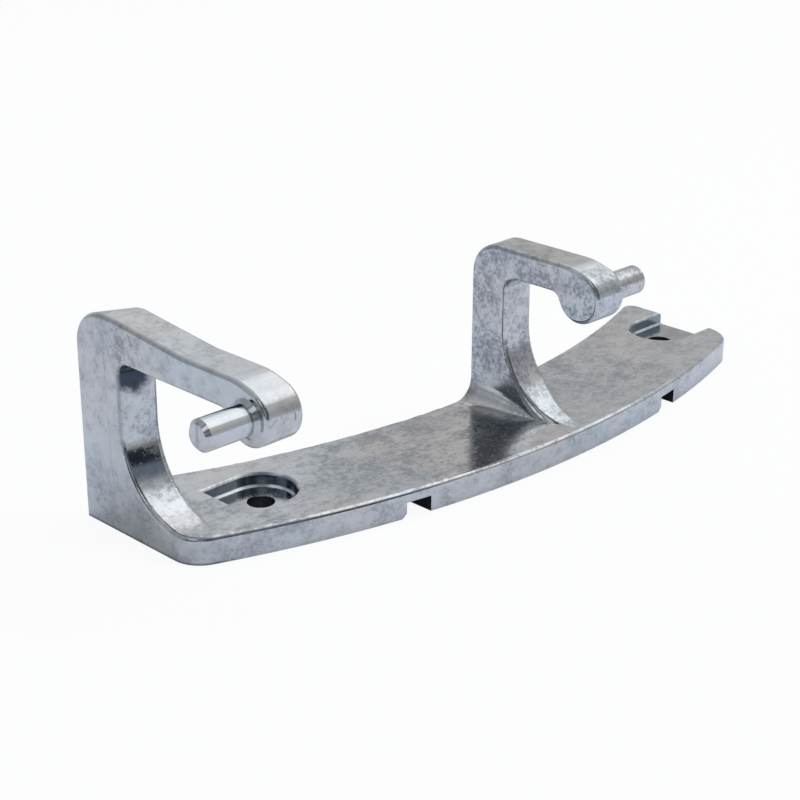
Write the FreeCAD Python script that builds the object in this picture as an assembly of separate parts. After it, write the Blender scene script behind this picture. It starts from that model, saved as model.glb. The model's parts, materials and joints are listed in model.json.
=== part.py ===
"""Door hinge of a washing machine: one die casting with a curved plate, two hooked arms and two pins.

Millimetres, +Z up. The origin lies on the flat underside, midway between the two screw holes.
+X runs along the plate, -Y is the convex front edge and +Y the concave back edge.
"""
import FreeCAD, Part
import math
import os

V = FreeCAD.Vector

# plate: a flat ring sector around a centre far behind the part
plate_thickness = 5.6
hole_spacing = 128.0
front_radius = 228.3
plate_width = 29.6
front_bulge = 25.8
left_reach = 88.3
right_end_land = 10.0
front_left_round = 6.5
front_right_round = 8.0
back_right_round = 2.5

# screw seats: a hole in a sunk U-shaped floor
hole_diameter = 5.6
seat_radius = 7.2
seat_depth = 2.9
seat_edge = 0.5
seat_corner = 0.45
seat_land = 0.2

# locating notches in the lower front edge
notch_width = 5.7
notch_height = 3.3
notch_length = 8.0
left_notch_x = -42.1
right_notch_x = 37.0

# arms: a post at the back edge, a bar over the plate and a round head at the front
arm_thickness = 8.5
right_arm_x = -0.1
left_post_depth = 11.0
right_post_depth = 9.8
left_toe_land = 1.6
right_toe_land = 1.8
left_toe_round = 2.0
right_toe_round = 3.5
right_split = 50.0
left_skew = 1.45
bar_underside = 29.6
bar_top = 36.0
left_rise = 2.0
bend_y = -8.0
bend_round = 15.0
crown_left_round = 7.5
crown_right_round = 7.0
crown_flat = 2.5
inner_round = 3.0
throat_round = 2.2
nape_slope = 15.5
throat_slope = 25.0
nape_round = 14.0
head_radius = 5.4
pin_y = -25.4
pin_height = 29.65

# concave feet beside the posts
outer_foot = 6.4
inner_foot = 4.8
foot_shin_angle = 50.0
foot_waist = 0.72
foot_shin = 0.48
foot_end = 0.15
foot_end_angle = 30.0

# pins
pin_diameter = 6.0
pin_length = 10.7
pin_chamfer = 0.8
pin_root = 0.8

# rounded edges of the casting
edge_round = 0.9
under_bevel = 1.0
notch_bevel = 1.0

back_radius = front_radius - plate_width
centre_y = front_radius - front_bulge
hole_x = hole_spacing / 2
right_reach = hole_x + right_end_land
top_z = plate_thickness
axis_z = top_z + pin_height
tall = top_z + bar_top + left_rise + 10


def front_y(x):
    """Y of the convex front edge at x."""
    return centre_y - math.sqrt(front_radius ** 2 - x * x)


def back_y(x):
    """Y of the concave back edge at x."""
    return centre_y - math.sqrt(back_radius ** 2 - x * x)


class Arm:
    """Where one arm stands and how its post differs from the other's."""

    def __init__(self, x_left, post_depth, toe_land, toe_round, split, skew, rise, crown_round):
        self.x_left, self.x_right = x_left, x_left + arm_thickness
        self.post_depth, self.sweep, self.skew = post_depth, plate_width - post_depth - toe_land, skew
        self.toe_round, self.split = toe_round, split
        self.rise, self.crown_round = rise, crown_round
        self.back = back_y(x_left + arm_thickness / 2)
        self.inner = self.back - post_depth
        self.web_top = top_z + self.sweep

    def sweep_point(self, angle, x=None):
        """Point on the concave sweep; the angle is 0 at the toe and 90 at the post's inner face."""
        x = self.x_left if x is None else x
        a = math.radians(angle)
        inner = self.inner - self.skew * (x - self.x_left) / arm_thickness
        return V(x, inner - self.sweep * (1 - math.sin(a)), self.web_top - self.sweep * math.cos(a))


left_arm = Arm(-left_reach, left_post_depth, left_toe_land, left_toe_round, 90, left_skew, left_rise,
               crown_left_round)
right_arm = Arm(right_arm_x, right_post_depth, right_toe_land, right_toe_round, right_split, 0, 0,
                crown_right_round)


def rounded_wire(corners, place):
    """Closed outline of straight sides; a corner (u, v, r) is rounded with r and place(u, v) gives its point."""
    count = len(corners)
    starts, mids, ends = [], [], []
    for i, (u, v, r) in enumerate(corners):
        before, after = corners[i - 1], corners[(i + 1) % count]
        to_before = V(before[0] - u, before[1] - v, 0).normalize()
        to_after = V(after[0] - u, after[1] - v, 0).normalize()
        half = to_before.getAngle(to_after) / 2
        here = V(u, v, 0)
        starts.append(here + to_before * (r / math.tan(half)))
        ends.append(here + to_after * (r / math.tan(half)))
        mids.append(here + (to_before + to_after).normalize() * (r / math.sin(half) - r))
    edges = []
    for i in range(count):
        if corners[i][2] > 0:
            a, m, b = (place(p.x, p.y) for p in (starts[i], mids[i], ends[i]))
            edges.append(Part.Arc(a, m, b).toShape())
        following = starts[(i + 1) % count]
        a, b = place(ends[i].x, ends[i].y), place(following.x, following.y)
        if a.distanceToPoint(b) > 1e-4:
            edges.append(Part.makeLine(a, b))
    return Part.Wire(edges)


def plan_prism(height):
    """The plate's outline, standing on z = 0, with its three plain corners rounded."""
    fl, fr = V(-left_reach, front_y(left_reach), 0), V(right_reach, front_y(right_reach), 0)
    br, bl = V(right_reach, back_y(right_reach), 0), V(-left_reach, back_y(left_reach), 0)
    front = Part.Arc(fl, V(0, front_y(0), 0), fr).toShape()
    back = Part.Arc(br, V(0, back_y(0), 0), bl).toShape()
    outline = Part.Wire([front, Part.makeLine(fr, br), back, Part.makeLine(bl, fl)])
    prism = Part.Face(outline).extrude(V(0, 0, height))
    for corner, radius in ((fl, front_left_round), (fr, front_right_round), (br, back_right_round)):
        upright = [e for e in prism.Edges
                   if all((V(q.X, q.Y, 0) - corner).Length < 1e-3 for q in e.Vertexes)]
        prism = prism.makeFillet(radius, upright)
    return prism


def behind(height):
    """The round space behind the concave back edge."""
    return Part.makeCylinder(back_radius, height, V(0, centre_y, 0))


def sweep_piece(arm, low, high, others):
    """Outline of an arm's sweep between two angles, closed through the other points (y, z)."""
    ends = [arm.sweep_point(a) for a in (low, (low + high) / 2, high)]
    points = [ends[2]] + [V(arm.x_left, y, z) for y, z in others] + [ends[0]]
    return Part.Wire([Part.Arc(*ends).toShape()] + [Part.makeLine(p, q) for p, q in zip(points, points[1:])])


def web(arm, round_faces):
    """The concave sweep between the plate and the post, in one length or in two that part at the arm's split.

    The edges in the planes round_faces are rounded; below the split the round grows toward the toe.
    """
    split = arm.sweep_point(arm.split)
    back, base, toe = arm.inner + arm.post_depth / 3, top_z / 2, arm.inner - arm.sweep
    if arm.split == 90:
        low = [(back, split.z), (back, base), (toe, base)]
        lengths = [(0, 90, low, (arm.toe_round, edge_round))]
    else:
        tilt = math.tan(math.radians(arm.split))
        low = [(split.y + (split.z - base) * tilt, base), (toe, base)]
        high = [(back, arm.web_top), (back, split.z - (back - split.y) / tilt)]
        lengths = [(0, arm.split, low, (arm.toe_round, edge_round)),
                   (arm.split, 90, high, (edge_round, edge_round))]
    pieces = []
    for start, end, others, radii in lengths:
        outline = sweep_piece(arm, start, end, others)
        piece = Part.Face(outline).extrude(V(arm_thickness, -arm.skew, 0))
        arcs = [e for e in piece.Edges if isinstance(e.Curve, Part.Circle)
                and any(abs(e.Vertexes[0].X - x) < 1e-6 for x in round_faces)]
        pieces.append(piece.makeFillet(*radii, arcs))
    return pieces


def stub(arm):
    """The back part of a post, from the underside to above the sweep."""
    front = arm.inner + arm.post_depth / 4
    block = Part.makeBox(arm_thickness, arm.post_depth * 2, arm.web_top + 3, V(arm.x_left, front, 0))
    return block.cut(behind(tall))


def foot(arm, side, radius):
    """Concave foot along one side of a post; it narrows toward the toe of the sweep."""
    x_face = arm.x_right if side > 0 else arm.x_left

    def section(y, r):
        a = math.radians(45)
        up, low = V(x_face, y, top_z + r), V(x_face + side * r, y, top_z)
        mid = V(x_face + side * r * (1 - math.cos(a)), y, top_z + r * (1 - math.sin(a)))
        arc = Part.Arc(up, mid, low).toShape()
        sunk = V(low.x, y, top_z - 1), V(x_face, y, top_z - 1)
        lines = [Part.makeLine(low, sunk[0]), Part.makeLine(*sunk), Part.makeLine(sunk[1], up)]
        return Part.Wire([arc] + lines)

    end, shin, waist = (arm.sweep_point(a, x_face).y for a in (foot_end_angle, foot_shin_angle, 90))
    stations = [(end, foot_end), (shin, radius * foot_shin), (waist, radius * foot_waist),
                (waist + arm.post_depth, radius), (waist + arm.post_depth * 2, radius)]
    lengths = [Part.makeLoft([section(*p), section(*q)], True, True) for p, q in zip(stations, stations[1:])]
    axis = V(x_face - 2 * radius, waist - arm.sweep, arm.web_top)
    hollow = Part.makeCylinder(arm.sweep, 4 * radius, axis, V(1, 0, 0))
    return lengths[0].fuse(lengths[1:]).cut(hollow).cut(behind(tall))


def hook(arm):
    """Post, bar and head of one arm, rounded along both sides. The post's inner face runs forward by its skew."""
    x_left, inner, back, post_depth = arm.x_left, arm.inner, arm.back, arm.post_depth
    rise, crown_round = arm.rise, arm.crown_round
    top = top_z + bar_top
    under = top_z + bar_underside

    def tangent(angle_deg):
        """A point and the direction of the head circle's tangent, for the angle of its normal."""
        a = math.radians(angle_deg)
        return pin_y + head_radius * math.cos(a), axis_z + head_radius * math.sin(a), -math.sin(a), math.cos(a)

    def cross(p, q):
        """Crossing of two lines, each given by a point and a direction."""
        s = ((q[0] - p[0]) * q[3] - (q[1] - p[1]) * q[2]) / (p[2] * q[3] - p[3] * q[2])
        return p[0] + s * p[2], p[1] + s * p[3]

    nape, face = tangent(90 + nape_slope), tangent(180)
    chin, throat = tangent(270), tangent(-throat_slope)
    corners = [
        (inner + post_depth / 4, under, 0),
        (*cross((0, under, 1, 0), throat), throat_round),
        (*cross(throat, chin), head_radius),
        (*cross(chin, face), head_radius),
        (*cross(face, nape), head_radius),
        (*cross(nape, (0, top, 1, 0)), nape_round)]
    if rise > 0:
        corners.append((bend_y, top, bend_round))
        corners.append((back - crown_round - crown_flat, top + rise, bend_round))
    corners += [(back + post_depth, top + rise, 0), (back + post_depth, 0, 0),
                (inner + post_depth / 4, 0, 0)]
    blank = Part.Face(rounded_wire(corners, lambda u, v: V(x_left, u, v))).extrude(V(arm_thickness, 0, 0))
    middle = (under + top) / 2
    corners = [
        (inner, under, inner_round), (inner - 2 * inner_round, under, 0), (inner - 2 * inner_round, middle, 0),
        (inner + post_depth / 2, middle, 0), (inner + post_depth / 2, 0, 0), (inner, 0, 0)]
    post = Part.Face(rounded_wire(corners, lambda u, v: V(x_left, u, v))).extrude(V(arm_thickness, -arm.skew, 0))
    limit = top + rise
    a = math.radians(45)
    low = V(0, centre_y - back_radius, 0)
    shoulder = low + V(0, 0, limit - crown_round)
    peak = V(0, low.y - crown_round, limit)
    mid = V(0, peak.y + crown_round * math.sin(a), shoulder.z + crown_round * math.cos(a))
    far = [V(0, low.y - 60, limit), V(0, low.y - 60, 0)]
    outline = [Part.makeLine(low, shoulder), Part.Arc(shoulder, mid, peak).toShape(), Part.makeLine(peak, far[0]),
               Part.makeLine(*far), Part.makeLine(far[1], low)]
    keep = Part.Face(Part.Wire(outline))
    keep.rotate(V(0, centre_y, 0), V(0, 0, 1), -40)
    keep = keep.revolve(V(0, centre_y, 0), V(0, 0, 1), 80)
    solid = blank.fuse(post).removeSplitter().common(keep)
    sides = [e for e in solid.Edges
             if max(v.X for v in e.Vertexes) - min(v.X for v in e.Vertexes) < 1e-6 and e.BoundBox.ZMax > 1]
    return solid, sides


def seat(x_hole, x_open):
    """The sunk floor round a screw hole, open toward x_open, with bevels at its rim and its foot."""
    side = math.copysign(1, x_open - x_hole)
    floor_z = top_z - seat_depth

    def outline(radius, z):
        a, b = V(x_open, radius, z), V(x_hole, radius, z)
        c, d = V(x_hole, -radius, z), V(x_open, -radius, z)
        arc = Part.Arc(b, V(x_hole - side * radius, 0, z), c).toShape()
        return Part.Wire([Part.makeLine(a, b), arc, Part.makeLine(c, d), Part.makeLine(d, a)])

    def taper(low, high):
        return Part.makeLoft([outline(*low), outline(*high)], True, True)

    walls = Part.Face(outline(seat_radius, floor_z + seat_corner)).extrude(V(0, 0, tall))
    ground = taper((seat_radius - seat_corner, floor_z), (seat_radius, floor_z + seat_corner))
    rim = taper((seat_radius, top_z - seat_edge), (seat_radius + 2 * seat_edge, top_z + seat_edge))
    return walls.fuse([ground, rim])


def notch(x_mid):
    """A locating notch in the lower front edge, with its left wall bevelled at the bottom."""
    y = front_y(x_mid)
    left = x_mid - notch_width / 2
    points = [(left - notch_bevel, -1), (left - notch_bevel, 0), (left, notch_bevel), (left, notch_height),
              (left + notch_width, notch_height), (left + notch_width, -1)]
    run = V(0, notch_length + front_bulge, 0)
    outline = Part.makePolygon([V(x, y + notch_length - run.y, z) for x, z in points + points[:1]])
    return Part.Face(outline).extrude(run)


def pin(x_face, side):
    """A round pin standing out of a head, with a flared root and a bevelled tip."""
    r = pin_diameter / 2
    profile = [(-arm_thickness / 2, 0), (-arm_thickness / 2, r + pin_root), (0, r + pin_root), (pin_root, r),
               (pin_length - pin_chamfer, r), (pin_length, r - pin_chamfer), (pin_length, 0)]
    outline = Part.makePolygon([V(x, y, 0) for x, y in profile + profile[:1]])
    solid = Part.Face(outline).revolve(V(0, 0, 0), V(1, 0, 0), 360)
    if side < 0:
        solid.rotate(V(0, 0, 0), V(0, 0, 1), 180)
    solid.translate(V(x_face, pin_y, axis_z))
    return solid


def edges_at(shape, test):
    """Edges whose every point along them passes the test."""
    return [e for e in shape.Edges if all(test(p) for p in e.discretize(5))]


def from_centre(p):
    """Distance in plan from the common centre of the front and back edges."""
    return math.hypot(p.x, p.y - centre_y)


def on_left_sweep(p):
    """The left arm's inner sweep where it meets the plate's left end face."""
    return abs(p.x + left_reach) < 1e-3 and p.z > top_z - 1e-3 and p.y < left_arm.inner + 1e-3


def on_back_top(p):
    """The plate's upper back edge."""
    return abs(from_centre(p) - back_radius) < 1e-3 and abs(p.z - top_z) < 1e-3


def on_left_back(p):
    """The upright edge where the left post's back meets the left end face."""
    return abs(from_centre(p) - back_radius) < 1e-3 and abs(p.x + left_reach) < 1e-3


def under_cutter():
    """Takes the bevel off the lower back edge, right across the posts."""
    extra = under_bevel / 2
    return Part.makeCone(back_radius + under_bevel + extra, back_radius - extra, under_bevel + 2 * extra,
                         V(0, centre_y, -extra))


def casting():
    """The whole hinge as one solid."""
    roots = web(left_arm, [left_arm.x_right]) + web(right_arm, [right_arm.x_left, right_arm.x_right])
    roots += [stub(left_arm), stub(right_arm), foot(left_arm, 1, outer_foot),
              foot(right_arm, -1, inner_foot), foot(right_arm, 1, outer_foot)]
    body = plan_prism(plate_thickness).fuse(roots).common(plan_prism(tall)).removeSplitter()
    long_edges = [e for test in (on_left_sweep, on_back_top, on_left_back) for e in edges_at(body, test)]
    body = body.makeFillet(edge_round, long_edges)

    upper = []
    for arm in (left_arm, right_arm):
        solid, sides = hook(arm)
        upper.append(solid.makeFillet(edge_round, sides))
    body = body.fuse(upper + [pin(left_arm.x_left, -1), pin(right_arm.x_right, 1)])

    cuts = [seat(hole_x, right_reach + seat_radius), seat(-hole_x, left_arm.x_right + outer_foot + seat_land),
            notch(left_notch_x), notch(right_notch_x), under_cutter()]
    for x in (-hole_x, hole_x):
        cuts.append(Part.makeCylinder(hole_diameter / 2, tall + 1, V(x, 0, -1)))
    return body.cut(cuts).removeSplitter()


os.makedirs("parts", exist_ok=True)
casting().exportStep("parts/hinge_bracket.step")
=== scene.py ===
"""Dresses the cast zinc hinge bracket of a washing machine door and sets it in a plain studio.

The bracket is one die casting with a bright zinc plating, so the solid keeps its shape and gets
the plating here: soft clouds, fine dark specks, stained and polished patches, dull recesses and
the fine seams that the die left. Some light and shade is painted into the colour: shade in the
recesses and along the left end's lowest rim, and dark reflections on the seats, in the left arm's
inner corner and along the left sweep. The plating is close to a mirror, so most of its light and
dark comes from the room. Lengths are in metres.
"""

import json
import logging
import math
from dataclasses import dataclass, field
from enum import Enum

import bpy
import numpy as np
from mathutils import Matrix, Vector

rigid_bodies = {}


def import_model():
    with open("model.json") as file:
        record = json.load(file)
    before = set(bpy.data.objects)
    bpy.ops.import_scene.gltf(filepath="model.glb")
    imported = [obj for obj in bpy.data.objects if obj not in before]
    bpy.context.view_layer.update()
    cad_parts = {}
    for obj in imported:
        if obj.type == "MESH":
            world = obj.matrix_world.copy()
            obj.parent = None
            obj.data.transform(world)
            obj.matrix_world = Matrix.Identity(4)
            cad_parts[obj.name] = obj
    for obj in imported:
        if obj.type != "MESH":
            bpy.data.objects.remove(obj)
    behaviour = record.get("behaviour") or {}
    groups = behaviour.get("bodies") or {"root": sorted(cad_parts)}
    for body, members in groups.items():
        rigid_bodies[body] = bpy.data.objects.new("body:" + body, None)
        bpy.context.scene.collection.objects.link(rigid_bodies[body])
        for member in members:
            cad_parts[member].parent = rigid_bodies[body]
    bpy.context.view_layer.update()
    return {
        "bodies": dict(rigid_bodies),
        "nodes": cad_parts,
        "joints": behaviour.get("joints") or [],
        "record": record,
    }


LOG = logging.getLogger("hinge_bracket")

Colour = tuple[float, float, float]
Point = tuple[float, float, float]
Span = tuple[float, float]  # where a mask starts and where it is full

WHITE: Colour = (1.0, 1.0, 1.0)
SECOND_BOUNCE: Span = (1.2, 1.8)  # the count of mirrorings from which a passed-on tone shows


class Lamp(Enum):
    """The soft boxes of the studio, by the side of the bracket that each one lights."""

    KEY = "key"
    FILL = "fill"
    TOP = "top"


class Value:
    """One shader socket or number, with the arithmetic of Python for Math nodes."""

    def __init__(self, tree: "Shader", socket: object) -> None:
        """Keeps the tree and the socket or number."""
        self.tree = tree
        self.socket = socket

    def _maths(self, operation: str, *others: object) -> "Value":
        """Adds one Math node.

        Args:
            operation: the Math node's operation.
            *others: the other inputs, values or numbers.

        Returns:
            The node's result.
        """
        return self.tree.node("ShaderNodeMath", {"operation": operation}, (self, *others))

    def __add__(self, other: object) -> "Value":
        """The sum."""
        return self._maths("ADD", other)

    __radd__ = __add__

    def __sub__(self, other: object) -> "Value":
        """The difference."""
        return self._maths("SUBTRACT", other)

    def __rsub__(self, other: float) -> "Value":
        """A number less this value."""
        return Value(self.tree, other)._maths("SUBTRACT", self)

    def __mul__(self, other: object) -> "Value":
        """The product."""
        return self._maths("MULTIPLY", other)

    __rmul__ = __mul__

    def __truediv__(self, other: object) -> "Value":
        """The quotient."""
        return self._maths("DIVIDE", other)

    def __abs__(self) -> "Value":
        """The size without its sign."""
        return self._maths("ABSOLUTE")

    def at_least(self, other: object) -> "Value":
        """The larger of this and another."""
        return self._maths("MAXIMUM", other)

    def at_most(self, other: object) -> "Value":
        """The smaller of this and another."""
        return self._maths("MINIMUM", other)

    def rise(self, low: float, high: float) -> "Value":
        """Goes smoothly from 0 at low to 1 at high.

        Args:
            low: where the rise starts.
            high: where it ends, below low for a fall.

        Returns:
            A value from 0 to 1.
        """
        settings = {"interpolation_type": "SMOOTHSTEP"}
        if high >= low:
            return self.tree.node("ShaderNodeMapRange", settings, (self, low, high, 0.0, 1.0))
        return self.tree.node("ShaderNodeMapRange", settings, (self, high, low, 1.0, 0.0))

    def band(self, middle: float, half: float, soft: float) -> "Value":
        """Is 1 within half of a middle value and fades out over soft.

        Args:
            middle: the middle of the band.
            half: half of its width.
            soft: the width of its soft rim.

        Returns:
            A mask from 0 to 1.
        """
        return abs(self - middle).rise(half + soft, half)


@dataclass(frozen=True)
class Grain:
    """One cloudy noise: how fine it is, how many finer layers it has and how strong they are."""

    scale: float
    detail: float
    rough: float


class Shader:
    """The node tree of one material or of the world, built from expressions."""

    def __init__(self, tree: bpy.types.NodeTree) -> None:
        """Empties the tree."""
        self.nodes = tree.nodes
        self.links = tree.links
        self.nodes.clear()

    def value(self, thing: object) -> Value:
        """Wraps a socket or a number."""
        return thing if isinstance(thing, Value) else Value(self, thing)

    def node(
        self, kind: str, settings: dict, inputs: object = (), output: int | str = 0
    ) -> Value:
        """Adds any node.

        Args:
            kind: the node's type.
            settings: its settings, which are set first.
            inputs: its inputs in order, or by name in a dict; a link, a number or a colour.
            output: which output to return.

        Returns:
            The chosen output, or an empty value for a node that ends the tree.
        """
        node = self.nodes.new(kind)
        for key, setting in settings.items():
            setattr(node, key, setting)
        named = inputs.items() if isinstance(inputs, dict) else enumerate(inputs)
        for key, thing in named:
            self._feed(node.inputs[key], thing)
        return Value(self, node.outputs[output] if node.outputs else None)

    def _feed(self, socket: bpy.types.NodeSocket, thing: object) -> None:
        """Links or sets one input."""
        inner = thing.socket if isinstance(thing, Value) else thing
        if isinstance(inner, bpy.types.NodeSocket):
            self.links.new(inner, socket)
        elif isinstance(inner, tuple) and len(inner) == 3 and socket.type == "RGBA":
            socket.default_value = (*inner, 1.0)
        else:
            socket.default_value = inner

    def blend(self, mask: object, below: object, above: object, how: str = "MIX") -> Value:
        """Mixes two colours.

        Args:
            mask: 0 for the first, 1 for the second.
            below: the first colour.
            above: the second colour.
            how: the Mix node's way of mixing.

        Returns:
            The mixed colour.
        """
        settings = {"data_type": "RGBA", "blend_type": how}
        return self.node("ShaderNodeMix", settings, {0: mask, 6: below, 7: above}, 2)

    def place(self) -> Value:
        """The point on the object, in metres."""
        return self.node("ShaderNodeTexCoord", {}, (), "Object")

    def stretched(self, place: Value, scale: Point) -> Value:
        """The point scaled by axis, for a pattern with a direction."""
        return self.node("ShaderNodeMapping", {}, {"Vector": place, "Scale": scale})

    def parts(self, place: Value) -> tuple[Value, Value, Value]:
        """The point's three coordinates."""
        split = self.node("ShaderNodeSeparateXYZ", {}, (place,), "X")
        outputs = split.socket.node.outputs
        return split, Value(self, outputs["Y"]), Value(self, outputs["Z"])

    def joined(self, x: object, y: object, z: object) -> Value:
        """A point from three coordinates."""
        return self.node("ShaderNodeCombineXYZ", {}, (x, y, z))

    def vectors(self, operation: str, *inputs: object) -> Value:
        """A Vector Math node whose result is a vector."""
        return self.node("ShaderNodeVectorMath", {"operation": operation}, inputs)

    def dot(self, a: object, b: object) -> Value:
        """The dot product of two vectors."""
        return self.node("ShaderNodeVectorMath", {"operation": "DOT_PRODUCT"}, (a, b), "Value")

    def distance(self, a: object, b: object) -> Value:
        """The distance between two points."""
        return self.node("ShaderNodeVectorMath", {"operation": "DISTANCE"}, (a, b), "Value")

    def off_line(self, place: Value, start: Point, end: Point) -> Value:
        """The distance from a point to a straight line between two points.

        The nearest point lies a share of the way along the line: the dot product of the way to
        the point with the line, over the line's length squared, held between 0 and 1.

        Args:
            place: the point.
            start: where the line starts.
            end: where it ends.

        Returns:
            The distance.
        """
        line = Vector(end) - Vector(start)
        way = self.vectors("SUBTRACT", place, start)
        share = (self.dot(way, tuple(line)) / line.length_squared).at_least(0.0).at_most(1.0)
        along = self.vectors("MULTIPLY", self.joined(share, share, share), tuple(line))
        return self.distance(way, along)

    def noise(self, place: Value, grain: Grain) -> Value:
        """Soft cloudy noise about 0.5."""
        inputs = {
            "Vector": place,
            "Scale": grain.scale,
            "Detail": grain.detail,
            "Roughness": grain.rough,
        }
        return self.node("ShaderNodeTexNoise", {}, inputs, 0)


@dataclass(frozen=True)
class LineMark:
    """One fine line on the casting, from a start to an end: a die seam, an edge, a scratch, or a
    painted reflection line.

    It is full within half_width of its middle and gone at fade times that.
    """

    name: str
    start: Point
    end: Point
    half_width: float
    strength: float
    fade: float = 1.8

    def mask(self, s: Shader, place: Value) -> Value:
        """Is the seam's strength on its line and 0 elsewhere, from the distance to the line.

        Args:
            s: the material's tree.
            place: the point on the bracket.

        Returns:
            The mask.
        """
        away = s.off_line(place, self.start, self.end)
        return away.rise(self.half_width * self.fade, self.half_width) * self.strength


@dataclass(frozen=True)
class Patch:
    """A round patch of the plating with more dull specks than elsewhere, or with fewer.

    It is full out to core times its radius and gone at its radius.
    """

    name: str
    centre: Point
    radius: float
    strength: float
    core: float = 0.35

    def mask(self, s: Shader, place: Value) -> Value:
        """Is the patch's strength inside and fades out toward its radius.

        Args:
            s: the material's tree.
            place: the point on the bracket.

        Returns:
            The mask.
        """
        away = s.distance(place, self.centre)
        return away.rise(self.radius, self.radius * self.core) * self.strength


@dataclass(frozen=True)
class BrightZinc:
    """Bright zinc plating on a die casting.

    The colour is a pale bluish grey. Soft clouds are a little darker, and the specks where rinse
    water dried are darker and rougher. The cast skin below gives slight waves.
    """

    clean: Colour = (0.606, 0.624, 0.640)
    cloudy: Colour = (0.470, 0.482, 0.500)
    speck: Colour = (0.232, 0.256, 0.300)
    # Painted shade for the screw holes, the notches' insides and the left end's lowest rim.
    recess_shade: Colour = (0.035, 0.040, 0.048)
    # A painted dark reflection for the upper inner corner of the left arm.
    corner: Colour = (0.026, 0.042, 0.072)
    # A painted dark bluish reflection that is multiplied into the seats.
    painted_seat_reflection: Colour = (0.450, 0.520, 0.565)
    warm: Colour = (1.0, 0.972, 0.952)
    cool: Colour = (0.962, 0.993, 1.0)

    # The noises: clouds, specks on the plate and on the upright arms, fine specks, hue, waves.
    cloud: Grain = Grain(120.0, 4.0, 0.55)
    lying: Grain = Grain(430.0, 5.0, 0.70)
    upright: Grain = Grain(360.0, 5.0, 0.65)
    fine: Grain = Grain(1150.0, 4.0, 0.65)
    hue: Grain = Grain(48.0, 2.0, 0.5)
    wave: Grain = Grain(55.0, 2.0, 0.4)
    lying_stretch: Point = (0.55, 1.0, 1.0)

    # Heights over the underside: where the arms, the plate's top face and full stains start.
    arm_span: Span = (0.0062, 0.0090)
    top_span: Span = (0.0050, 0.0054)
    stain_span: Span = (0.0046, 0.0053)

    # How dense the specks stand: in clouds, on the plate's top, low on its edges, and at most.
    cloud_span: Span = (0.40, 0.62)
    cloud_density: float = 0.22
    top_density: float = 0.4
    edge_stain: float = 0.3
    densest: float = 1.4

    # The shares of the noises in the specks, and the levels between which a speck appears.
    fine_share: float = 0.50
    mid_share: float = 0.32
    cloud_share: float = 0.18
    density_share: float = 0.045
    speck_span: Span = (0.485, 0.635)
    speck_depth: float = 0.28
    speck_gain: float = 0.36

    # The same for the darker clouds and for the two hues.
    mottle_share: float = 0.60
    stain_share: float = 0.06
    mottle_span: Span = (0.40, 0.66)
    mottle_depth: float = 0.8
    hue_span: Span = (0.40, 0.60)

    clean_roughness: float = 0.12
    speck_roughness: float = 0.34
    stain_roughness: float = 0.04
    bore_roughness: float = 0.3
    roughest: float = 0.8

    # The relief under the plating.
    wave_relief: float = 0.45
    mid_relief: float = 0.05
    fine_relief: float = 0.03
    line_relief: float = 0.12
    bump_strength: float = 0.35
    bump_depth: float = 0.0006

    def material(self, marks: "Marks") -> bpy.types.Material:
        """Builds the plating.

        The specks are a weighted sum of three noises that is lifted where they stand dense and
        cut off at a level. Each mark then lays its own colour over the plating; some of these
        colours are painted shade and painted dark reflections.

        Args:
            marks: where the casting has seams, stained and polished patches, painted dark
            reflections, and recesses with painted shade.

        Returns:
            The material.
        """
        material = bpy.data.materials.new("bright_zinc")
        material.use_nodes = True
        s = Shader(material.node_tree)
        place = s.place()
        cloud = s.noise(place, self.cloud)
        height = s.parts(place)[2]
        arms = height.rise(*self.arm_span)
        lying = s.noise(s.stretched(place, self.lying_stretch), self.lying)
        mid = lying + (s.noise(place, self.upright) - lying) * arms
        fine = s.noise(place, self.fine)
        stained = marks.total(s, place, marks.stains) * (
            self.edge_stain + height.rise(*self.stain_span) * (1.0 - self.edge_stain)
        )
        polished = 1.0 - marks.total(s, place, marks.polished)
        top = height.rise(*self.top_span) - arms
        density = cloud.rise(*self.cloud_span) * self.cloud_density + stained
        density = (density + top * self.top_density).at_most(self.densest)
        grain = fine * self.fine_share + mid * self.mid_share + cloud * self.cloud_share
        specks = (grain + density * self.density_share).rise(*self.speck_span) * polished
        clouds = mid * self.mottle_share + cloud * (1.0 - self.mottle_share)
        clouds = (clouds + stained * self.stain_share).rise(*self.mottle_span)
        colour = s.blend(clouds * polished * self.mottle_depth, self.clean, self.cloudy)
        speck_mask = specks * (self.speck_depth + density * self.speck_gain)
        colour = s.blend(speck_mask, colour, self.speck)
        hue = s.noise(place, self.hue).rise(*self.hue_span)
        colour = s.blend(1.0, colour, s.blend(hue, self.warm, self.cool), "MULTIPLY")
        # Die seams, scratches and painted dark reflection lines, in the specks' colour.
        seam_and_painted_line = marks.seams_and_painted_lines_mask(s, place)
        colour = s.blend(seam_and_painted_line, colour, self.speck)
        # Painted reflection: the seats are darkened toward blue.
        colour = s.blend(marks.painted_seat_reflection_mask(s, place), colour, self.painted_seat_reflection, "MULTIPLY")
        # Painted reflection: a dark patch in the left arm's upper inner corner.
        colour = s.blend(marks.painted_corner_reflection(s, place, mid), colour, self.corner)
        # Painted shade in the recesses, which are also rougher.
        recess_shade_mask = marks.painted_recess_shade(s, place)
        colour = s.blend(recess_shade_mask, colour, self.recess_shade)
        roughness = self.clean_roughness + specks * (self.speck_roughness - self.clean_roughness)
        roughness = roughness + stained * self.stain_roughness + recess_shade_mask * self.bore_roughness
        roughness = roughness.at_most(self.roughest)
        relief = s.noise(place, self.wave) * self.wave_relief + mid * self.mid_relief
        relief = relief + fine * self.fine_relief - seam_and_painted_line * self.line_relief
        bump = s.node(
            "ShaderNodeBump",
            {},
            {"Strength": self.bump_strength, "Distance": self.bump_depth, "Height": relief},
        )
        surface = s.node(
            "ShaderNodeBsdfPrincipled",
            {},
            {"Base Color": colour, "Roughness": roughness, "Metallic": 1.0, "Normal": bump},
        )
        s.node("ShaderNodeOutputMaterial", {}, {"Surface": surface})
        return material


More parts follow.
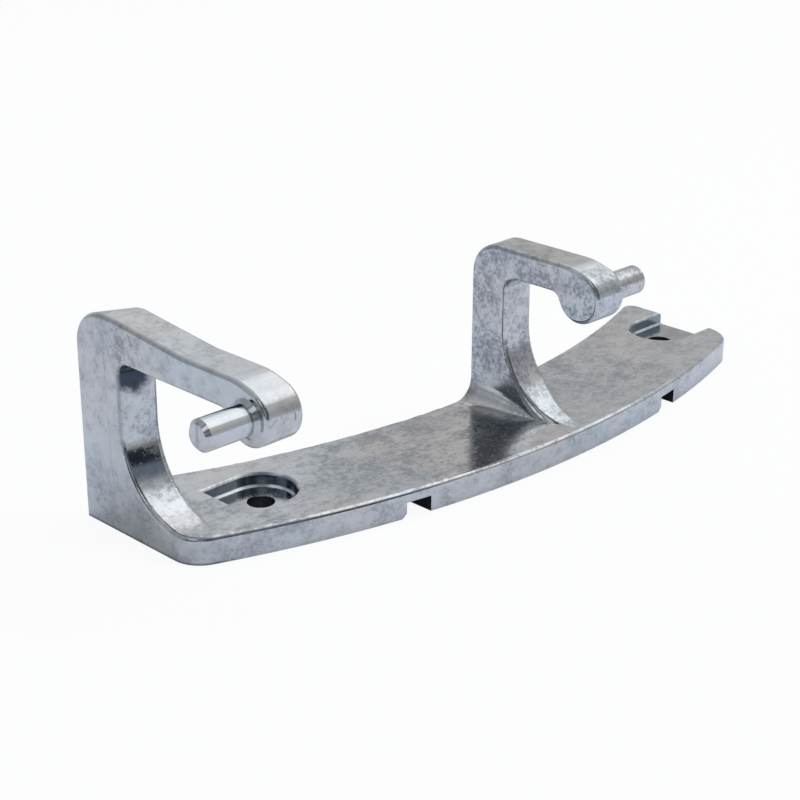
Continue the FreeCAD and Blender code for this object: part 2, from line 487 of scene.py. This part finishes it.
@dataclass(frozen=True)
class Marks:
    """Where the casting is marked.

    It has die seams and scratches, stained and polished patches, and painted light: shade painted
    in the recesses and along the left end's lowest rim, and dark reflections painted on the two
    seats, in the left arm's upper inner corner and as two lines along the left sweep. Heights are
    over the underside of the plate.
    """

    # The ring at the left pin's root: the pin's axis, the ring's place, and how far out it goes.
    pin_y: float = -0.0254
    pin_z: float = 0.03525
    root_x: float = -0.0893
    root_half: float = 0.0007
    root_reach: Span = (0.0046, 0.0040)
    root_strength: float = 0.2

    # The screw holes, whose walls get painted shade, and the two sunk seats round them, which get
    # a painted dark bluish reflection.
    hole_x: float = 0.064
    hole_reach: float = 0.0029
    hole_top: float = 0.0026
    seat_top: Span = (0.0055, 0.0052)
    seat_side: Span = (0.0078, 0.0075)
    seat_x: float = 0.0700
    seat_half: float = 0.0145
    seat_soft: float = 0.0003
    left_floor: Span = (-0.0650, -0.0715)
    left_floor_strength: float = 0.7
    right_floor: Span = (0.058, 0.066)
    right_floor_strength: float = 0.5

    # The two notches in the front edge, whose insides get painted shade, and the soft rim of
    # every recess.
    notch_x: tuple[float, ...] = (-0.0421, 0.0370)
    notch_half: float = 0.00287
    notch_top: float = 0.0034
    rim: float = 0.0001

    # The lowest rim of the plate's left end, where a contact shadow is painted.
    end_height: Span = (0.0006, 0.0002)
    end_x: Span = (-0.0780, -0.0840)
    end_strength: float = 0.55

    # The upper inner corner of the left arm, where a dark reflection is painted.
    corner: Point = (-0.0850, 0.0108, 0.0326)
    corner_reach: Span = (0.0048, 0.0026)
    corner_x: Span = (-0.0884, -0.0874)
    corner_y: Span = (0.0085, 0.0098)
    corner_ragged: float = 0.005
    corner_strength: float = 0.95

    seams_and_painted_lines: tuple[LineMark, ...] = (
        LineMark("pin end", (-0.0990, -0.0254, 0.0325), (-0.0990, -0.0254, 0.0380), 0.00028, 0.45),
        LineMark("head scratch", (-0.0880, -0.0308, 0.0348), (-0.0862, -0.0308, 0.0360), 0.0001, 0.5),
        LineMark("head tick", (-0.0819, -0.0308, 0.0362), (-0.0819, -0.0308, 0.0349), 0.00014, 0.7),
        LineMark("end face", (-0.0883, 0.0152, 0.0375), (-0.0883, 0.0143, 0.0040), 0.00008, 0.35),
        LineMark("right toe", (-0.0001, -0.0145, 0.0060), (-0.0001, -0.0257, 0.0056), 0.0001, 0.55),
        LineMark("front tick", (-0.0001, -0.0258, 0.0052), (0.0006, -0.0259, 0.0038), 0.00012, 0.6),
        # Painted reflection: two dark lines along the edge of the left sweep's window.
        LineMark("painted reflection edge", (-0.0880, 0.0115, 0.0325), (-0.0880, 0.0114, 0.0205), 0.00025, 0.45),
        LineMark("painted reflection foot", (-0.0880, 0.0114, 0.0205), (-0.0880, 0.0108, 0.0172), 0.00025, 0.45),
    )
    stains: tuple[Patch, ...] = (
        Patch("right post, high", (-0.0001, 0.0020, 0.0360), 0.015, 1.0),
        Patch("right post, low", (-0.0001, -0.0010, 0.0110), 0.020, 1.4),
        Patch("right bar", (-0.0001, -0.0140, 0.0390), 0.012, 0.9),
        Patch("right head", (0.0040, -0.0280, 0.0350), 0.010, 0.8),
        Patch("right pin", (0.0160, -0.0260, 0.0370), 0.008, 0.9),
        Patch("right sweep", (0.0040, -0.0080, 0.0120), 0.010, 0.8),
        Patch("right bar top", (0.0060, -0.0100, 0.0420), 0.014, 0.6),
        Patch("left post, high", (-0.0883, 0.0080, 0.0390), 0.007, 0.9),
        Patch("left head", (-0.0812, -0.0305, 0.0375), 0.004, 0.7),
        Patch("left inner wall", (-0.0840, 0.0110, 0.0250), 0.007, 0.5),
        Patch("left toe", (-0.0832, -0.0080, 0.0056), 0.007, 0.8),
        Patch("left sweep, high", (-0.0803, 0.0085, 0.0160), 0.005, 1.0),
        Patch("left sweep, low", (-0.0803, 0.0050, 0.0110), 0.004, 0.8),
        Patch("plate, right", (0.0300, -0.0060, 0.0056), 0.026, 0.75),
        Patch("plate, middle", (-0.0330, -0.0050, 0.0056), 0.034, 0.75),
        Patch("plate, far right", (0.0600, 0.0000, 0.0056), 0.022, 0.35),
        Patch("plate, left", (-0.0700, -0.0100, 0.0056), 0.022, 0.45),
    )
    polished: tuple[Patch, ...] = (
        Patch("left head, top", (-0.0845, -0.0235, 0.0405), 0.011, 0.70),
        Patch("left pin, top", (-0.0940, -0.0254, 0.0385), 0.008, 0.75),
        Patch("left sweep", (-0.0840, -0.0050, 0.0075), 0.010, 0.40),
        Patch("right sweep", (0.0040, -0.0130, 0.0085), 0.006, 0.40),
        Patch("right foot", (-0.0008, -0.0040, 0.0072), 0.008, 0.75),
    )

    def seams_and_painted_lines_mask(self, s: Shader, place: Value) -> Value:
        """All the seams, the painted reflection lines and the dull ring at the left pin's root,
        as one mask.

        Args:
            s: the material's tree.
            place: the point on the bracket.

        Returns:
            The mask.
        """
        x, y, z = s.parts(place)
        off_axis = s.distance(s.joined(0.0, y, z), (0.0, self.pin_y, self.pin_z))
        ring = x.band(self.root_x, self.root_half, self.root_half)
        total = ring * off_axis.rise(*self.root_reach) * self.root_strength
        for seam_and_painted_line in self.seams_and_painted_lines:
            total = total.at_least(seam_and_painted_line.mask(s, place))
        return total

    def total(self, s: Shader, place: Value, patches: tuple[Patch, ...]) -> Value:
        """Several patches as one mask, at each point as strong as the strongest one there.

        Args:
            s: the material's tree.
            place: the point on the bracket.
            patches: the patches.

        Returns:
            The mask.
        """
        total = s.value(0.0)
        for patch in patches:
            total = patch.mask(s, place).at_least(total)
        return total

    def painted_seat_reflection_mask(self, s: Shader, place: Value) -> Value:
        """A darker bluish reflection painted on the walls of the two seats and on the ends of
        their floors.

        Args:
            s: the material's tree.
            place: the point on the bracket.

        Returns:
            The mask.
        """
        x, y, z = s.parts(place)
        low = z.rise(*self.seat_top) * z.rise(self.hole_top - self.seat_soft, self.hole_top)
        painted_seat_reflection = low * abs(y).rise(*self.seat_side)
        painted_seat_reflection = painted_seat_reflection * abs(x).band(self.seat_x, self.seat_half, self.seat_soft)
        wall = z.rise(self.hole_top + self.seat_soft, self.hole_top + 2 * self.seat_soft)
        left_floor = x.rise(*self.left_floor) * self.left_floor_strength
        darker = wall.at_least(left_floor)
        right_floor = x.rise(*self.right_floor) * self.right_floor_strength
        return painted_seat_reflection * darker.at_least(right_floor)

    def painted_corner_reflection(self, s: Shader, place: Value, grain: Value) -> Value:
        """A dark reflection painted in the upper inner corner of the left arm, with a ragged rim.

        Args:
            s: the material's tree.
            place: the point on the bracket.
            grain: the noise that makes the rim ragged.

        Returns:
            The mask.
        """
        x, y, z = s.parts(place)
        away = s.distance(place, self.corner) + (grain - 0.5) * self.corner_ragged
        inner = away.rise(*self.corner_reach) * y.rise(*self.corner_y) * x.rise(*self.corner_x)
        return inner * self.corner_strength

    def painted_recess_shade(self, s: Shader, place: Value) -> Value:
        """Where shade is painted: the screw holes' walls, the insides of the notches, and a
        contact shadow on the left end's lowest rim.

        The notches' bands run across the whole plate, so the back edge behind each is dark too.

        Args:
            s: the material's tree.
            place: the point on the bracket.

        Returns:
            The mask, which is weaker on the left end's rim.
        """
        x, y, z = s.parts(place)
        off_hole = s.distance(s.joined(abs(x), y, 0.0), (self.hole_x, 0.0, 0.0))
        inside = off_hole.rise(self.hole_reach, self.hole_reach - self.rim)
        inside = inside * z.rise(self.hole_top, self.hole_top - self.rim)
        low = z.rise(self.notch_top, self.notch_top - self.rim) * z.rise(0.0, self.rim)
        for middle in self.notch_x:
            inside = inside.at_least(x.band(middle, self.notch_half, self.rim / 2) * low)
        # A painted contact shadow along the left end's lowest rim.
        painted_contact_shadow = z.rise(*self.end_height) * x.rise(*self.end_x) * self.end_strength
        return inside.at_least(painted_contact_shadow)


@dataclass
class Bracket:
    """The casting: plate, two hooked arms and their pins, which are one solid."""

    node: str = "hinge_bracket"
    finish: BrightZinc = field(default_factory=BrightZinc)
    marks: Marks = field(default_factory=Marks)

    def dress(self, frame: dict) -> bpy.types.Object:
        """Gives the solid its plating.

        Args:
            frame: the loaded frame.

        Returns:
            The dressed solid.
        """
        casting = frame["nodes"][self.node]
        material = self.finish.material(self.marks)
        casting.data.materials.clear()
        casting.data.materials.append(material)
        return casting


@dataclass
class PhotoCamera:
    """The camera at the photograph's viewing angle.

    Its angles are in degrees, and its lens and sensor in millimetres.
    """

    position: Point = (-0.26583, -0.23793, 0.15326)
    heading: float = 44.7116
    tilt: float = 22.5199
    roll: float = 0.3070
    lens: float = 79.33
    sensor: float = 36.0
    near: float = 0.01
    far: float = 20.0

    def place(self) -> bpy.types.Object:
        """Makes the camera, from its heading, its downward tilt and its roll."""
        heading, tilt, roll = (math.radians(a) for a in (self.heading, self.tilt, self.roll))
        ahead = Vector(
            (
                math.cos(tilt) * math.cos(heading),
                math.cos(tilt) * math.sin(heading),
                -math.sin(tilt),
            )
        )
        level = Vector((math.sin(heading), -math.cos(heading), 0.0))
        above = level.cross(ahead)
        right = level * math.cos(roll) + above * math.sin(roll)
        up = right.cross(ahead)
        data = bpy.data.cameras.new("photo_camera")
        data.sensor_width = self.sensor
        data.lens = self.lens
        data.clip_start, data.clip_end = self.near, self.far
        camera = bpy.data.objects.new("photo_camera", data)
        bpy.context.scene.collection.objects.link(camera)
        turn = Matrix((right, up, -ahead)).transposed()
        camera.matrix_world = Matrix.Translation(Vector(self.position)) @ turn.to_4x4()
        bpy.context.scene.camera = camera
        return camera


@dataclass(frozen=True)
class SoftBox:
    """One square soft lamp that points at the bracket."""

    side: Lamp
    position: Point
    size: tuple[float, float]
    power: float
    colour: Colour = WHITE

    def place(self, aim: Point) -> bpy.types.Object:
        """Makes the lamp.

        The plating doesn't mirror it, because its hard edges would show there. The pale tones of
        the room stand in for it.

        Args:
            aim: the point that it faces.

        Returns:
            The lamp.
        """
        data = bpy.data.lights.new(self.side.value, "AREA")
        data.shape = "RECTANGLE"
        data.size, data.size_y = self.size
        data.energy = self.power
        data.color = self.colour
        lamp = bpy.data.objects.new(self.side.value, data)
        lamp.location = self.position
        lamp.visible_glossy = False
        lamp.rotation_euler = (Vector(aim) - lamp.location).to_track_quat("-Z", "Y").to_euler()
        bpy.context.scene.collection.objects.link(lamp)
        return lamp


@dataclass(frozen=True)
class Tone:
    """One side of the room that is lighter or darker than the rest.

    The tone is full within inner degrees of its direction and gone at outer degrees. A tone that
    is passed on shows only where one face of the bracket mirrors another, and not where a face
    mirrors the room itself.
    """

    name: str
    way: Point
    inner: float
    outer: float
    light: Colour
    passed_on: bool = False

    def mask(self, s: Shader, way: Value) -> Value:
        """Is 1 toward this side of the room, from the cosine of the angle to its direction.

        Args:
            s: the world's tree.
            way: the direction that is looked in.

        Returns:
            The mask.
        """
        facing = s.dot(way, tuple(Vector(self.way).normalized()))
        gone, full = (math.cos(math.radians(angle)) for angle in (self.outer, self.inner))
        mask = facing.rise(gone, full)
        if not self.passed_on:
            return mask
        bounces = s.node("ShaderNodeLightPath", {}, (), "Glossy Depth")
        return mask * bounces.rise(*SECOND_BOUNCE)


@dataclass
class Studio:
    """A plain pale floor, soft lamps and a pale room with lighter and darker sides.

    The room stands for the photographer's white and dark screens, which the plating mirrors. The
    floor glows for the camera, and a little for the plating, in shares of full white.
    """

    floor_z: float = -0.0001
    floor_reach: float = 6.0
    floor_points: int = 9
    floor_glow: float = 0.93
    floor_gleam: float = 0.12
    paper: Colour = (0.676, 0.720, 0.806)
    room: Colour = (0.634, 0.614, 0.606)
    aim: Point = (0.0, 0.0, 0.01)
    tones: tuple[Tone, ...] = (
        Tone("dark by the camera", (-0.743, -0.624, 0.242), 40.0, 65.0, (0.085, 0.098, 0.120)),
        Tone("grey at the camera", (-0.664, -0.664, 0.342), 8.0, 20.0, (0.38, 0.40, 0.43)),
        Tone("grey behind left", (-0.583, 0.694, 0.423), 12.0, 45.0, (0.38, 0.41, 0.45)),
        Tone("dark behind left", (-0.644, 0.667, 0.375), 12.0, 20.0, (0.010, 0.018, 0.030), True),
        Tone("grey low left", (-0.961, 0.135, 0.242), 6.0, 15.0, (0.25, 0.27, 0.30)),
        Tone("pale low left", (-0.794, 0.422, 0.438), 4.0, 10.0, (0.66, 0.68, 0.71)),
        Tone("pale over the left", (-0.699, -0.214, 0.682), 8.0, 16.0, (1.00, 1.01, 1.03)),
        Tone("grey at the front right", (0.692, -0.692, 0.208), 6.0, 16.0, (0.45, 0.47, 0.50)),
        Tone("grey in front", (0.239, -0.832, 0.500), 8.0, 20.0, (0.16, 0.19, 0.24)),
        Tone("dark in front", (0.233, -0.933, 0.276), 7.0, 14.0, (0.015, 0.018, 0.026)),
        Tone("window overhead", (0.547, -0.116, 0.829), 16.0, 29.0, (1.44, 1.46, 1.50)),
        Tone("window at the side", (0.623, 0.360, 0.695), 7.0, 17.0, (1.28, 1.30, 1.34)),
        Tone("pale above the back", (0.539, 0.643, 0.545), 3.0, 8.0, (0.90, 0.91, 0.93)),
        Tone("pale behind", (0.556, 0.765, 0.326), 3.0, 9.0, (0.80, 0.81, 0.84)),
    )
    lamps: tuple[SoftBox, ...] = (
        SoftBox(Lamp.KEY, (0.50, -0.45, 0.70), (0.45, 0.45), 3.6),
        SoftBox(Lamp.FILL, (-0.80, 0.05, 0.45), (0.5, 0.4), 0.2, (0.90, 0.95, 1.0)),
        SoftBox(Lamp.TOP, (0.05, 0.15, 0.95), (0.7, 0.5), 2.0),
    )

    def floor(self) -> bpy.types.Object:
        """Makes the floor: a flat grid, z constant over x and y."""
        count = self.floor_points
        side = np.linspace(-self.floor_reach, self.floor_reach, count)
        x, y = np.meshgrid(side, side, indexing="ij")
        points = np.stack([x, y, np.full_like(x, self.floor_z)], axis=-1).reshape(-1, 3)
        corner = np.arange(count**2).reshape(count, count)
        faces = np.stack(
            [corner[:-1, :-1], corner[1:, :-1], corner[1:, 1:], corner[:-1, 1:]], axis=-1
        ).reshape(-1, 4)
        mesh = bpy.data.meshes.new("floor")
        mesh.from_pydata(points.tolist(), [], faces.tolist())
        mesh.materials.append(self.floor_material())
        floor = bpy.data.objects.new("floor", mesh)
        bpy.context.scene.collection.objects.link(floor)
        return floor

    def floor_material(self) -> bpy.types.Material:
        """A pale matt floor that goes to white for the camera and keeps a soft shadow."""
        material = bpy.data.materials.new("pale_floor")
        material.use_nodes = True
        s = Shader(material.node_tree)
        matt = s.node("ShaderNodeBsdfDiffuse", {}, {"Color": self.paper})
        glow = s.node("ShaderNodeEmission", {}, {"Color": WHITE, "Strength": 1.0})
        camera = s.node("ShaderNodeLightPath", {}, (), "Is Camera Ray")
        glossy = s.node("ShaderNodeLightPath", {}, (), "Is Glossy Ray")
        clear = s.node("ShaderNodeLightPath", {}, (), "Is Transmission Ray")
        seen = (camera * self.floor_glow).at_least(glossy * self.floor_gleam)
        seen = seen.at_least(clear * self.floor_glow)
        mixed = s.node("ShaderNodeMixShader", {}, {0: seen, 1: matt, 2: glow})
        s.node("ShaderNodeOutputMaterial", {}, {"Surface": mixed})
        return material

    def world(self) -> None:
        """Makes the room: white to the camera, and the room's tones in reflections."""
        world = bpy.data.worlds.new("studio")
        bpy.context.scene.world = world
        world.use_nodes = True
        s = Shader(world.node_tree)
        way = s.node("ShaderNodeTexCoord", {}, (), "Generated")
        seen = s.value(self.room)
        for tone in self.tones:
            seen = s.blend(tone.mask(s, way), seen, tone.light)
        camera = s.node("ShaderNodeLightPath", {}, (), "Is Camera Ray")
        seen = s.blend(camera, seen, WHITE)
        room = s.node("ShaderNodeBackground", {}, {"Color": seen, "Strength": 1.0})
        s.node("ShaderNodeOutputWorld", {}, {"Surface": room})

    def build(self) -> None:
        """Makes the floor, the room and the lamps."""
        scene = bpy.context.scene
        scene.view_settings.view_transform = "Standard"
        self.floor()
        self.world()
        for lamp in self.lamps:
            lamp.place(self.aim)
            LOG.info("lamp %s", lamp.side.value)


def main() -> None:
    """Builds the dressed bracket in its studio."""
    logging.basicConfig(level=logging.INFO, format="%(name)s: %(message)s")
    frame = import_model()
    casting = Bracket().dress(frame)
    LOG.info("plated %s with %d faces", casting.name, len(casting.data.polygons))
    Studio().build()
    PhotoCamera().place()
    LOG.info("sizes written")


if __name__ == "__main__":
    main()
